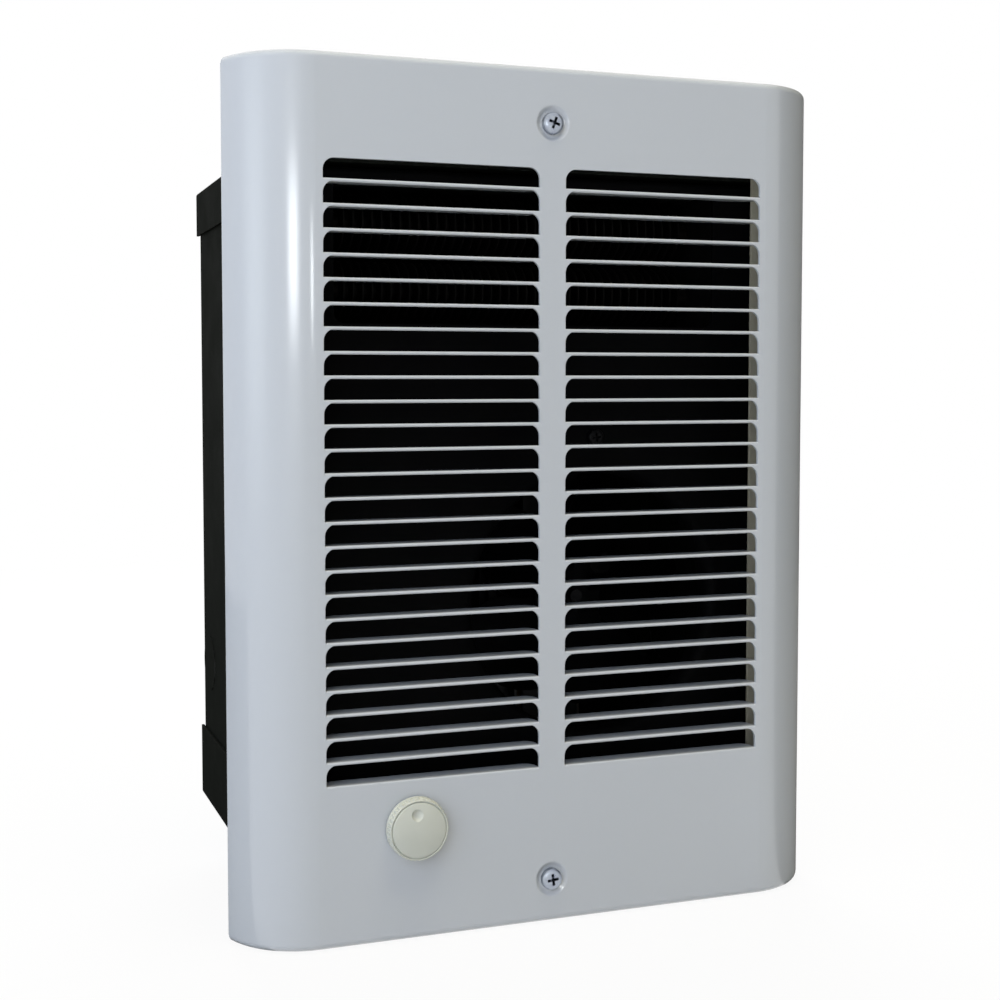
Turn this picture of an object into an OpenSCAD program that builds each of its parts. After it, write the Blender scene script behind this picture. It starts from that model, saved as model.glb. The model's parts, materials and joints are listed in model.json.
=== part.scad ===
// Recessed bathroom wall fan heater.
// Millimetres. The origin is the centre of the wall box's mouth, on the face of the wall:
// +X to the right, +Y into the wall, +Z up. The cover stands off the wall towards -Y.

/* [Cover] */
// Width of the cover over its rolled sides
cover_w = 229; // [226:0.5:232]
// Height of the cover
cover_h = 306; // [304:1:310]
// Distance from the wall to the flat face of the cover
cover_d = 20.5; // [20:0.5:22]
// How far the cover's centre lies above the wall box's centre
cover_rise = 4.25; // [3:0.25:5]
// Thickness of the cover's sheet steel
cover_t = 1; // [0.8:0.1:1]
// Outer radius of the rolled sides
roll_r = 30; // [29:0.5:31]
// Outer radius of the bend at the top and bottom edges
edge_r = 2.5; // [2:0.5:3.5]
// Width of the flat flanges that the sides turn in against the wall
return_w = 22; // [16:1:23]

/* [Grille] */
// Number of louvers in each column
slot_rows = 26; // [18:1:26]
// Distance from one louver to the next
slot_pitch = 8.27; // [8.2:0.01:8.3]
// Height of the opening over each louver
slot_h = 7.4; // [7:0.1:7.5]
// Length of each louver
slot_l = 79; // [70:1:80]
// Width of the plain bar between the two columns
mullion_w = 10; // [8:1:12]
// Height of the top of the second row of openings above the origin
grille_z = 114.1; // [112:0.1:115]
// Radius at the free corners of each louver tongue
tongue_r = 4; // [2:0.5:4]
// Depth of the louver tongues behind the face
tongue_d = 7; // [5:0.5:7]

/* [Knob] */
// Position of the thermostat's shaft to the right of the centre
knob_x = -52; // [-55:0.5:-50]
// Height of the thermostat's shaft
knob_z = -108.6; // [-109:0.1:-106]
// Diameter of the knob at its foot
knob_foot_d = 22; // [21.8:0.2:25]
// Diameter of the knob at its face
knob_face_d = 21.2; // [19:0.2:21.2]
// Height of the knob
knob_h = 5.2; // [5:0.2:12]
// Number of grip ribs on the knob
knob_ribs = 44; // [24:2:48]

/* [Wall box] */
// Width of the wall box over the flanges of its ends
box_w = 210; // [208:1:212]
// Height of the wall box
box_h = 249.5; // [248:0.5:251]
// Depth of the wall box behind the face of the wall
box_d = 102; // [102:1:106]
// Thickness of the box's sheet steel
box_t = 1; // [0.9:0.1:1.2]
// Height of the flanges on the top panel
top_flange_h = 17.5; // [12:0.5:22]
// Height of the flanges on the bottom panel
bottom_flange_h = 29; // [20:0.5:32]
// Height of the upper cover screw
upper_screw_z = 137.5; // [137:0.5:139]
// Height of the lower cover screw
lower_screw_z = -133; // [-134:0.5:-132.5]
// Diameter of the conduit knockouts
knockout_d = 22.2; // [21:0.2:22.4]

/* [Fan and motor] */
// Position of the fan's axis to the right of the centre
fan_x = 28; // [25:0.5:30]
// Height of the fan's axis
fan_z = -36.75; // [-38:0.25:-34]
// Diameter of the inlet orifice
orifice_d = 98; // [96:1:100]
// Diameter of the fan over its blade tips
fan_d = 92; // [88:1:93]
// Number of fan blades
fan_blades = 5; // [4:1:5]
// Pitch of the blades
blade_pitch = 29; // [22:1:32]
// Diameter of the motor's shaft
shaft_d = 5; // [4.5:0.1:5]
// Thickness of the motor's lamination stack
stack_h = 20; // [16:1:22]

/* [Heating element] */
// Width of the outlet opening
outlet_w = 152; // [148:1:153]
// Height of the outlet opening
outlet_h = 51; // [50:0.5:51]
// Diameter of the element's sheath
sheath_d = 8; // [7.5:0.5:8.5]
// Diameter of the fins on the sheath
fin_d = 22; // [18:1:23]
// Distance from one fin to the next
fin_pitch = 3.6; // [3:0.2:6]
// Distance between the two runs of the element
run_gap = 25; // [24:0.5:26]

/* [Hidden] */
$fn = 64;
EPS = 0.01;

// Cover
cover_lo = cover_rise - cover_h / 2;
cover_hi = cover_rise + cover_h / 2;
face_y = -cover_d;
roll_y = roll_r - cover_d;
// The foot of each roll turns inwards round a bead as wide as the sheet is thick
bead_dx = sqrt(pow(roll_r - cover_t, 2) - pow(roll_y + cover_t, 2));
roll_x = round(100 * (cover_w / 2 - cover_t - bead_dx)) / 100;
bead_x = roll_x + bead_dx;
roll_sweep = atan2(bead_dx, roll_y + cover_t);
dimple_r = 6.6;
dimple_floor_r = 4.4;
dimple_d = 0.9;
dimple_steps = 8;
cover_hole_r = 2.3;
knob_hole_r = 5;

// Grille
slot_x = mullion_w / 2;
first_slot_drop = 0.65;
bend_r = 0.6;

// Wall box
lap_gap = 0.3;
wrap_w = box_w - 2 * (box_t + lap_gap);
wrap_h = box_h - 2 * box_t;
wrap_r = 1.5;
inner_w = wrap_w - 2 * box_t;
ear_w = 34;
ear_reach = 7;
ear_hole_r = 2;
knockout_y = 87.5;
knockout_z = -67;
knockout_lift = 0.5;
side_hole_r = 2.4;
side_hole_y = 30;
side_hole_dz = 80;
tab_w = 12;
tab_h = 16;
tab_z = 95;
deck_screw_x = inner_w / 2 - 6;

// Fan deck
deck_y = 3;
deck_t = 1.2;
deck_w = inner_w - 1;
deck_h = wrap_h - 2;
deck_flange = 12;
lip_r = 4;
lip_d = 7.5;
outlet_x = 2;
outlet_z = 93;
duct_t = 0.8;
duct_d = 42;
duct_y = deck_y + deck_t;

// Fan and motor, as distances behind the wall's face
fan_y = 28;
hub_r = 5.5;
hub_front = 21.5;
hub_back = 36;
shaft_front = 19;
cradle_y = 44;
cradle_t = 1.5;
cradle_reach = 57;
cradle_foot = 11;
cradle_w = 24;
bridge_y = cradle_y + cradle_t;
bridge_t = 2;
stack_y = 54;
rotor_r = 13;
air_gap = 0.35;
stack_w = 54;
leg_w = 12;
window_lo = 14;
window_hi = 34;
yoke_hi = 47;
motor_screw_x = 20.5;
bush_r = 5;
bush_l = 8;
boss_r = 7.5;
back_bridge_y = stack_y + stack_h + 7;
shaft_back = back_bridge_y + 8;
running = 0.04;

// Heating element
element_y = 27;
element_top = outlet_z + run_gap / 2;
element_low = outlet_z - run_gap / 2;
fin_t = 0.6;
fin_foot = 0.6;
fins_l = outlet_w - 14;
collar_l = 4;
post_l = 4.8;
duct_left = outlet_x - outlet_w / 2 - duct_t;
duct_right = outlet_x + outlet_w / 2 + duct_t;

// Thermostat
stat_w = 36;
stat_h = 24;
stat_d = 24;
stat_y = deck_y + deck_t;
stat_shaft_r = 3;
stat_bush_r = 4.8;

// Wiring: sides of each lead and its steps between two points of a route
lead_r = 1.3;
lead_sides = 8;
lead_steps = 5;

// Routes of the leads, from terminal to terminal
ROUTE_SUPPLY_A = [
    [knob_x - 6.5, 36.5, knob_z], [knob_x - 6.5, 42, knob_z], [-62, 52, -104], [-72, 62, -96],
    [-86, 68, -88], [-92, 73, -78], [-92, 77, -66], [-92, 78, -54],
];
ROUTE_SUPPLY_B = [
    [-90.7, 27, 80.5], [-94, 27.5, 79.5], [-97, 33, 70], [-97.5, 44, 52],
    [-97.5, 56, 24], [-97.5, 66, -8], [-97, 72, -30], [-96, 76, -46],
];
ROUTE_STAT_LIMIT = [
    [knob_x + 6.5, 36.5, knob_z], [knob_x + 6.5, 42, knob_z + 1],
    [-54, 44, -92], [-74, 32, -66], [-90, 20, -38],
    [-95, 14, 0], [-95, 13, 40], [-95, 13, 68], [-96.5, 13, 80], [-95, 13, 87], [-89.9, 13, 88],
];
ROUTE_LIMIT_ELEMENT = [
    [-90.1, 13, 98], [-92, 13.2, 98], [-96, 18, 101], [-96.8, 23, 104],
    [-94.5, 26.5, 105.5], [-90.7, 27, 105.5],
];
ROUTE_MOTOR_A = [
    [20, 58, -90.3], [19, 57, -95], [6, 52, -98], [-14, 44, -88], [-38, 34, -62],
    [-64, 26, -24], [-82, 24, 20], [-87, 26, 58], [-88.3, 27, 72], [-88.3, 27, 78.8],
];
ROUTE_MOTOR_B = [
    [36, 58, -90.3], [36, 57, -96], [30, 50, -106], [10, 42, -114],
    [-14, 40, -116], [-31, 44, -112],
    [knob_x + 15.5, 42, knob_z], [knob_x + 15.5, 36.5, knob_z],
];

// Places its children on an axis that runs into the wall, local +Z along +Y
module on_y(x, y, z) {
    translate([x, y, z]) rotate([-90, 0, 0]) children();
}

// Places its children on an axis that runs to the right, local +Z along +X
module on_x(x, y, z) {
    translate([x, y, z]) rotate([0, 90, 0]) children();
}

// Cylinder with a hole through it
module ring(r, r_in, h) {
    difference() {
        cylinder(r = r, h = h);
        translate([0, 0, -1]) cylinder(r = r_in, h = h + 2);
    }
}

// Rectangle with its lower left corner at the origin and all corners round
module round_rect(w, h, r) {
    translate([r, 0]) square([w - 2 * r, h]);
    translate([0, r]) square([w, h - 2 * r]);
    for (x = [r, w - r], y = [r, h - r])
        translate([x, y]) circle(r);
}

// Outline of a folded channel: w wide, open at y = 0, closed and round at y = d
module channel_2d(w, d, r) {
    translate([-w / 2, 0]) square([w, d - r]);
    translate([r - w / 2, 0]) square([w - 2 * r, d]);
    for (s = [-1, 1])
        translate([s * (w / 2 - r), d - r]) circle(r);
}

// Section of a folded sheet channel, outer size w by d
module sheet_channel_2d(w, d, r, t) {
    difference() {
        channel_2d(w, d, r);
        translate([0, -1]) channel_2d(w - 2 * t, d - t + 1, r - t);
    }
}

// Pan-head screw along local +Z with its head's seat at z = 0 and a cross recess
module pan_screw(head_r, head_h, shank_r, l) {
    difference() {
        union() {
            translate([0, 0, -head_h * 0.45]) cylinder(r = head_r, h = head_h * 0.45);
            translate([0, 0, -head_h]) cylinder(r1 = head_r * 0.72, r2 = head_r, h = head_h * 0.55);
        }
        for (a = [0, 90])
            rotate([0, 0, a]) translate([-head_r * 0.55, -head_r * 0.1, -head_h - 1])
                cube([head_r * 1.1, head_r * 0.2, 1 + head_h * 0.6]);
    }
    translate([0, 0, -EPS]) cylinder(r = shank_r, h = l - shank_r + EPS);
    translate([0, 0, l - shank_r]) cylinder(r1 = shank_r, r2 = shank_r * 0.4, h = shank_r);
}

// ---- Front cover ----

// Plan of the pan between its face and the wall, drawn in by the given distance
module pan_plan(inset) {
    translate([-roll_x, face_y + inset]) square([2 * roll_x, cover_d - inset]);
    intersection() {
        for (x = [-roll_x, roll_x])
            translate([x, roll_y]) circle(roll_r - inset, $fn = 128);
        translate([-cover_w, face_y - 1]) square([2 * cover_w, cover_d + 1]);
    }
}

// Section through the face sheet, its rolled sides and the flanges against the wall
module cover_section() {
    difference() {
        pan_plan(0);
        pan_plan(cover_t);
        for (s = [0, 1]) mirror([s, 0])
            polygon([
                [roll_x, roll_y], [roll_x + 2 * bead_dx, roll_y - 2 * (roll_y + cover_t)],
                [roll_x + 2 * bead_dx, roll_y],
            ]);
    }
    for (s = [0, 1]) mirror([s, 0]) {
        translate([bead_x, -cover_t]) {
            circle(cover_t);
            translate([cover_t - return_w, 0]) square([return_w - cover_t, cover_t]);
        }
    }
}

// Quarter-round section of the bend between the face and an end of the pan
module edge_quarter() {
    intersection() {
        difference() {
            circle(edge_r);
            circle(edge_r - cover_t);
        }
        square(edge_r);
    }
}

// Upper end of the pan: the bend and the flat end, which shuts the pan off
module pan_end() {
    translate([0, 0, cover_hi - cover_t]) linear_extrude(cover_t) pan_plan(edge_r);
    translate([-roll_x, face_y + edge_r, cover_hi - edge_r]) rotate([90, 0, 90])
        linear_extrude(2 * roll_x) mirror([1, 0]) edge_quarter();
    for (s = [0, 1]) mirror([s, 0, 0])
        translate([roll_x, roll_y, cover_hi - edge_r]) rotate([0, 0, -90])
            rotate_extrude(angle = roll_sweep, $fn = 128)
                translate([roll_r - edge_r, 0]) edge_quarter();
}

// Outline of one opening of the grille, seen from the front, with its lower corner at the origin
module slot_2d(h) {
    square([slot_l, h - tongue_r]);
    translate([tongue_r, 0]) square([slot_l - 2 * tongue_r, h]);
    for (x = [tongue_r, slot_l - tongue_r])
        translate([x, h - tongue_r]) circle(tongue_r);
}

// Height of the sill of a row, where its tongue folds back
function sill(row) = grille_z - slot_h - (row - 1) * slot_pitch;

// Section of a louver tongue: the bend at the sill and the flat blade behind it
module tongue_2d() {
    difference() {
        union() {
            translate([bend_r, -bend_r]) circle(bend_r, $fn = 32);
            translate([bend_r, -cover_t]) square([tongue_d - bend_r, cover_t]);
            translate([0, slot_h - slot_pitch]) square([cover_t, slot_pitch - slot_h - bend_r]);
        }
        translate([cover_t, -3]) square([tongue_d, 3 - cover_t]);
    }
}

// Plan of a column of tongues, with the free corners round
module tongue_plan() {
    square([slot_l, tongue_d - tongue_r]);
    translate([tongue_r, 0]) square([slot_l - 2 * tongue_r, tongue_d]);
    for (x = [tongue_r, slot_l - tongue_r])
        translate([x, tongue_d - tongue_r]) circle(tongue_r);
}

module louvers() {
    for (x = [-slot_x - slot_l, slot_x])
        intersection() {
            for (row = [0:slot_rows - 1])
                translate([x, face_y, sill(row)]) rotate([90, 0, 90])
                    linear_extrude(slot_l) tongue_2d();
            translate([x, face_y, cover_lo]) linear_extrude(cover_h) tongue_plan();
        }
}

// Dished seat of a cover screw, pressed back out of the face
module screw_dimple(z) {
    bank = [
        for (i = [0:dimple_steps])
            [
                dimple_floor_r + (dimple_r - dimple_floor_r) * i / dimple_steps,
                dimple_d * (1 + cos(180 * i / dimple_steps)) / 2,
            ]
    ];
    on_y(0, face_y, z)
        rotate_extrude()
            polygon(concat(
                [[cover_hole_r, dimple_d]],
                bank,
                [for (i = [dimple_steps:-1:0]) bank[i] + [0, cover_t]],
                [[cover_hole_r, dimple_d + cover_t]]
            ));
}

module front_cover() {
    color("whitesmoke") {
        difference() {
            union() {
                translate([0, 0, cover_lo + edge_r])
                    linear_extrude(cover_h - 2 * edge_r) cover_section();
                pan_end();
                translate([0, 0, 2 * cover_rise]) mirror([0, 0, 1]) pan_end();
            }
            for (z = [upper_screw_z, lower_screw_z])
                on_y(0, face_y - 1, z) cylinder(r = dimple_r, h = cover_t + 2);
            on_y(knob_x, face_y - 1, knob_z) cylinder(r = knob_hole_r, h = cover_t + 2);
            for (x = [-slot_x - slot_l, slot_x], row = [0:slot_rows - 1])
                translate([x, face_y + cover_t + 1, sill(row) - bend_r]) rotate([90, 0, 0])
                    linear_extrude(cover_t + 2)
                        slot_2d(slot_h + bend_r - (row == 0 ? first_slot_drop : 0));
        }
        for (z = [upper_screw_z, lower_screw_z])
            screw_dimple(z);
        louvers();
    }
}

module cover_screws() {
    color("silver")
        for (z = [upper_screw_z, lower_screw_z])
            on_y(0, face_y + dimple_d, z) pan_screw(3.9, 2.4, ear_hole_r - 0.05, cover_d + 6);
}

// ---- Thermostat knob ----

knob_top_y = face_y - 0.5;
knob_wall = 1.6;
knob_boss_l = 3;
knob_dome = 1;
knob_rim_w = 0.5;
knob_groove_w = 0.4;
knob_pointer_r = 5.8;
knob_pointer_turn = -10;

// Local +Z points out of the wall; the boss round the shaft reaches in through the cover's hole
module knob_shell() {
    foot_r = knob_foot_d / 2;
    face_r = knob_face_d / 2;
    rim_z = knob_h - knob_dome;
    dome_w = face_r - knob_rim_w - knob_groove_w;
    dome_r = (dome_w * dome_w + knob_dome * knob_dome) / (2 * knob_dome);
    difference() {
        union() {
            cylinder(r = foot_r, h = 1.2);
            translate([0, 0, -knob_boss_l]) cylinder(r = stat_shaft_r + 1.4, h = knob_boss_l + 1);
            translate([0, 0, 1.2]) cylinder(r1 = foot_r - 0.5, r2 = face_r, h = rim_z - 1.2);
            for (i = [0:knob_ribs - 1])
                rotate([0, 0, i * 360 / knob_ribs]) translate([foot_r - 0.5, 0, 1.2])
                    rotate([0, -atan((foot_r - 0.5 - face_r) / (rim_z - 1.2)), 0])
                        translate([0, 0, -0.2]) cylinder(r = 0.38, h = rim_z - 1.6, $fn = 16);
            intersection() {
                translate([0, 0, knob_h - dome_r]) sphere(dome_r, $fn = 96);
                translate([0, 0, rim_z - 1]) cylinder(r = dome_w, h = knob_dome + 2);
            }
        }
        translate([0, 0, rim_z - 0.5])
            ring(face_r - knob_rim_w, dome_w, 2);
        translate([0, 0, -1]) ring(foot_r - knob_wall, stat_shaft_r + 2, knob_h - 2.2);
        translate([0, 0, -knob_boss_l - 1]) cylinder(r = stat_shaft_r, h = knob_boss_l + knob_h - 1.5);
        rotate([0, 0, -knob_pointer_turn]) translate([0, knob_pointer_r, knob_h + 1.2])
            sphere(2.6, $fn = 48);
    }
}

module thermostat_knob() {
    color("ivory")
        translate([knob_x, knob_top_y, knob_z]) rotate([90, 0, 0]) knob_shell();
}

// ---- Wall box ----

// Slug of a conduit knockout, sheared half through, with local +Z pointing out of the box
module knockout_cut() {
    translate([0, 0, -box_t - 1]) cylinder(d = knockout_d, h = 1 + knockout_lift);
}

module knockout_slug() {
    translate([0, 0, -box_t + knockout_lift]) cylinder(d = knockout_d, h = box_t);
}

// Places a knockout on each side of the box and one in its back
module at_knockouts() {
    for (s = [0, 1]) mirror([s, 0, 0])
        translate([-wrap_w / 2, knockout_y, knockout_z]) rotate([0, -90, 0]) children();
    translate([-58, box_d, -92]) rotate([-90, 0, 0]) children();
}

module box_wrap() {
    color("darkslategray") {
        difference() {
            translate([0, 0, -wrap_h / 2]) linear_extrude(wrap_h)
                sheet_channel_2d(wrap_w, box_d, wrap_r, box_t);
            at_knockouts() knockout_cut();
            for (z = [-side_hole_dz / 2, side_hole_dz / 2])
                on_x(-wrap_w, side_hole_y, z) cylinder(r = side_hole_r, h = 2 * wrap_w);
        }
        intersection() {
            at_knockouts() knockout_slug();
            translate([-wrap_w / 2 - knockout_lift, 0, -wrap_h / 2])
                cube([wrap_w + 2 * knockout_lift, box_d, wrap_h]);
        }
        for (s = [0, 1], z = [-tab_z, tab_z]) mirror([s, 0, 0])
            difference() {
                translate([wrap_w / 2 - tab_w, deck_y + deck_t, z - tab_h / 2])
                    cube([tab_w - box_t / 2, box_t, tab_h]);
                on_y(deck_screw_x, 0, z) cylinder(r = 1.8, h = 20);
            }
    }
}

// End panel of the box with flanges over both sides and an ear for a cover screw;
// the panel's outer face lies at local z = 0 and its flanges point down
module box_end(flange_h, ear_z) {
    difference() {
        rotate([-90, 0, 0])
            linear_extrude(box_d)
                mirror([0, 1]) translate([0, -flange_h])
                    sheet_channel_2d(box_w, flange_h, box_t + lap_gap, box_t);
        children();
    }
    difference() {
        union() {
            translate([-ear_w / 2, -box_t, -box_t])
                cube([ear_w, box_t + EPS, box_t]);
            translate([-ear_w / 2, 0, -box_t]) rotate([90, 0, 0])
                linear_extrude(box_t) {
                    square([ear_w, ear_z]);
                    round_rect(ear_w, ear_z + ear_reach + box_t, 5);
                }
        }
        on_y(0, -box_t - 1, ear_z) cylinder(r = ear_hole_r, h = box_t + 2);
    }
}

module box_top() {
    color("darkslategray")
        translate([0, 0, box_h / 2]) box_end(top_flange_h, upper_screw_z - box_h / 2);
}

ground_x = -80;
ground_y = 60;

module box_bottom() {
    color("darkslategray")
        translate([0, 0, -box_h / 2]) mirror([0, 0, 1])
            box_end(bottom_flange_h, -lower_screw_z - box_h / 2)
                translate([ground_x, ground_y, -5]) cylinder(r = 2, h = 10);
}

module ground_screw() {
    color("seagreen")
        translate([ground_x, ground_y, box_t - box_h / 2]) mirror([0, 0, 1])
            pan_screw(4, 2.4, 1.95, box_t + 1);
}

// ---- Fan deck ----

// Rolled lip of the inlet: a quarter-round mouth and a short throat behind it
module inlet_lip() {
    r = orifice_d / 2;
    on_y(fan_x, deck_y, fan_z) rotate_extrude($fn = 128) {
        difference() {
            translate([r, 0]) square([lip_r, lip_r]);
            translate([r + lip_r, lip_r]) circle(lip_r, $fn = 48);
        }
    }
}

module deck_plate() {
    translate([-deck_w / 2, deck_y, -deck_h / 2]) rotate([90, 0, 90])
        linear_extrude(deck_w)
            translate([deck_flange, deck_h / 2]) rotate(90)
                sheet_channel_2d(deck_h, deck_flange, deck_t + 0.8, deck_t);
}

module fan_deck() {
    r = orifice_d / 2;
    color("dimgray") {
        difference() {
            deck_plate();
            on_y(fan_x, deck_y - 1, fan_z) cylinder(r = r + lip_r, h = 10, $fn = 128);
            translate([outlet_x - outlet_w / 2, deck_y + 10, outlet_z - outlet_h / 2])
                rotate([90, 0, 0]) linear_extrude(20) round_rect(outlet_w, outlet_h, 4);
            on_y(knob_x, deck_y - 1, knob_z) cylinder(r = stat_bush_r + 0.1, h = 10);
            for (x = [-deck_screw_x, deck_screw_x], z = [-tab_z, tab_z])
                on_y(x, deck_y - 1, z) cylinder(r = 2.1, h = 10);
            for (s = [-1, 1])
                on_y(fan_x, deck_y - 1, fan_z + s * (cradle_reach + cradle_foot / 2))
                    cylinder(r = 1.8, h = 10);
        }
        on_y(fan_x, deck_y, fan_z) rotate_extrude($fn = 128) {
            intersection() {
                difference() {
                    translate([r + lip_r, lip_r]) circle(lip_r, $fn = 48);
                    translate([r + lip_r, lip_r]) circle(lip_r - deck_t, $fn = 48);
                }
                translate([r, 0]) square([lip_r + EPS, lip_r]);
            }
            translate([r, lip_r - EPS]) square([deck_t, lip_d - lip_r]);
        }
    }
}

module deck_screws() {
    color("silver")
        for (x = [-deck_screw_x, deck_screw_x], z = [-tab_z, tab_z])
            on_y(x, deck_y, z) pan_screw(3.2, 1.9, 1.75, 9);
}

// ---- Heating element ----

module element_duct() {
    lo = outlet_z - outlet_h / 2 - duct_t;
    color("darkgray")
        difference() {
            union() {
                translate([duct_left, duct_y + duct_d, lo]) rotate([90, 0, 0])
                    linear_extrude(duct_d)
                        square([duct_right - duct_left, outlet_h + 2 * duct_t]);
                for (x = [duct_left - 9, duct_right - EPS])
                    translate([x, duct_y, outlet_z - 18]) cube([9 + EPS, duct_t, 36]);
            }
            translate([duct_left + duct_t, duct_y - 1, lo + duct_t])
                cube([outlet_w, duct_d + 2, outlet_h]);
            for (z = [element_low, element_top])
                on_x(duct_left - 5, element_y, z)
                    cylinder(r = sheath_d / 2 + 0.1, h = duct_right - duct_left + 10);
            for (x = [duct_left - 5, duct_right + 5], z = [outlet_z - 12, outlet_z + 12])
                on_y(x, duct_y - 1, z) cylinder(r = 1.6, h = duct_t + 2);
            for (z = [outlet_z - 11.5, outlet_z + 11.5])
                on_x(duct_left - 2, 13, z) cylinder(r = 1.4, h = duct_t + 4);
        }
}

module duct_rivets() {
    color("silver")
        for (x = [duct_left - 5, duct_right + 5], z = [outlet_z - 12, outlet_z + 12])
            on_y(x, duct_y, z) {
                cylinder(r = 1.55, h = duct_t);
                translate([0, 0, duct_t]) cylinder(r1 = 3, r2 = 2, h = 1.2);
            }
}

// Hairpin tube: two straight runs and the turn at their right ends
module element_sheath() {
    turn_x = duct_right + 3.5;
    color("dimgray") {
        for (z = [element_low, element_top])
            on_x(duct_left - 7, element_y, z)
                cylinder(d = sheath_d, h = turn_x - duct_left + 7);
        translate([turn_x, element_y, outlet_z]) rotate([90, 0, 0]) rotate([0, 0, -90])
            rotate_extrude(angle = 180) translate([run_gap / 2, 0]) circle(d = sheath_d);
    }
}

// One run of fins: discs on a thin foot round the sheath
module fin_run() {
    n = floor(fins_l / fin_pitch);
    r = sheath_d / 2;
    rotate_extrude() {
        translate([r, 0]) square([fin_foot, n * fin_pitch]);
        for (i = [0:n])
            translate([r, i * fin_pitch - fin_t / 2]) square([fin_d / 2 - r, fin_t]);
    }
}

module element_fins() {
    n = floor(fins_l / fin_pitch);
    color("gray")
        for (z = [element_low, element_top])
            on_x(outlet_x - n * fin_pitch / 2, element_y, z) fin_run();
}

// Ceramic collars and terminal posts at the left ends of the sheath
module element_terminals() {
    color("linen")
        for (z = [element_low, element_top])
            on_x(duct_left - 7, element_y, z) {
                translate([0, 0, -collar_l]) cylinder(r = 3.2, h = collar_l);
                translate([0, 0, -collar_l - post_l]) cylinder(r = 1.6, h = post_l + EPS);
            }
}

limit_y = 13;

// Disc thermostat that cuts the heat if the outlet gets too hot
module limit_switch() {
    color("saddlebrown")
        on_x(duct_left, limit_y, outlet_z) {
            difference() {
                translate([-14.5, -7, -1]) cube([29, 14, 1]);
                for (s = [-1, 1])
                    translate([s * 11.5, 0, -2]) cylinder(r = 1.4, h = 3);
            }
            translate([0, 0, -9]) cylinder(r = 7.6, h = 8 + EPS);
            for (s = [-1, 1])
                translate([s * 5 - 0.4, -2.4, -15]) cube([0.8, 4.8, 6 + EPS]);
        }
}

module limit_screws() {
    color("silver")
        for (s = [-1, 1])
            on_x(duct_left - 1, limit_y, outlet_z + s * 11.5) pan_screw(2.4, 1.5, 1.35, 4);
}

// ---- Thermostat ----

// Push-on tabs at the back of the thermostat, set a little way into its body
module stat_tabs() {
    for (x = [knob_x - 6.5, knob_x + 6.5, knob_x + 15.5])
        translate([x - 0.4, stat_y + stat_d - 1, knob_z - 3.2]) cube([0.8, 9, 6.4]);
}

module thermostat_body() {
    color("black")
        difference() {
            union() {
                translate([knob_x - stat_w / 2, stat_y + stat_d, knob_z - stat_h / 2])
                    rotate([90, 0, 0]) linear_extrude(stat_d) round_rect(stat_w, stat_h, 3);
                on_y(knob_x, deck_y - 4.5, knob_z) cylinder(r = stat_bush_r, h = 6);
            }
            on_y(knob_x, deck_y - 6, knob_z) cylinder(r = stat_shaft_r + 0.06, h = 22);
            stat_tabs();
        }
}

// The shaft reaches from inside the body to the knob
module thermostat_shaft() {
    color("silver")
        on_y(knob_x, knob_top_y - knob_h + 3, knob_z)
            cylinder(r = stat_shaft_r, h = deck_y + 12 - (knob_top_y - knob_h + 3));
}

module thermostat_nut() {
    color("silver")
        on_y(knob_x, deck_y - 2.6, knob_z)
            difference() {
                cylinder(r = 7.4, h = 2.6, $fn = 6);
                translate([0, 0, -1]) cylinder(r = stat_bush_r + 0.02, h = 5);
            }
}

module thermostat_terminals() {
    color("gold") stat_tabs();
}

// ---- Fan ----

// Pitched and cambered blade of thin sheet, lying along local +X
module blade() {
    camber_r = 48;
    intersection() {
        rotate([blade_pitch, 0, 0]) translate([0, 0, -camber_r])
            rotate([0, 90, 0]) ring(camber_r + 0.5, camber_r - 0.5, fan_d / 2 + 2);
        translate([0, 0, -16]) linear_extrude(32)
            intersection() {
                circle(d = fan_d, $fn = 128);
                union() {
                    translate([30.5, 0]) circle(17);
                    translate([9, -8]) square([18, 16]);
                }
            }
    }
}

module fan_blades() {
    color("lightgray")
        on_y(fan_x, fan_y, fan_z) {
            for (i = [0:fan_blades - 1])
                rotate([0, 0, i * 360 / fan_blades]) blade();
            translate([0, 0, -0.9]) ring(14, hub_r, 1.8);
        }
}

module fan_hub() {
    color("darkgray")
        on_y(fan_x, hub_front, fan_z) {
            ring(hub_r, shaft_d / 2, hub_back - hub_front);
            translate([0, 0, fan_y + 0.9 - hub_front]) ring(hub_r + 2.5, hub_r - EPS, 1.2);
        }
}

// ---- Motor ----

module motor_shaft() {
    color("silver")
        on_y(fan_x, shaft_front, fan_z) cylinder(d = shaft_d, h = shaft_back - shaft_front);
}

module motor_rotor() {
    color("lightsteelblue")
        on_y(fan_x, stack_y - 2, fan_z) {
            ring(rotor_r - 1.5, shaft_d / 2, stack_h + 4);
            translate([0, 0, 2]) ring(rotor_r, rotor_r - 1.5 - EPS, stack_h);
        }
}

// Lamination outline: two poles round the rotor, two legs and the yoke that carries the coil
module lamination_2d() {
    difference() {
        translate([-stack_w / 2, -22]) square([stack_w, 22 + yoke_hi]);
        circle(rotor_r + air_gap);
        translate([leg_w - stack_w / 2, window_lo])
            square([stack_w - 2 * leg_w, window_hi - window_lo]);
        translate([-1.5, 0]) square([3, window_lo + 1]);
        for (s = [-1, 1]) {
            translate([s * motor_screw_x, 0]) circle(2.1);
            rotate(s * 32) for (u = [-1, 1])
                translate([u * (rotor_r + air_gap + 2.3), 0]) circle(1.1);
        }
    }
}

module stator_core() {
    color("slategray")
        on_y(fan_x, stack_y, fan_z) linear_extrude(stack_h) lamination_2d();
}

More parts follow.
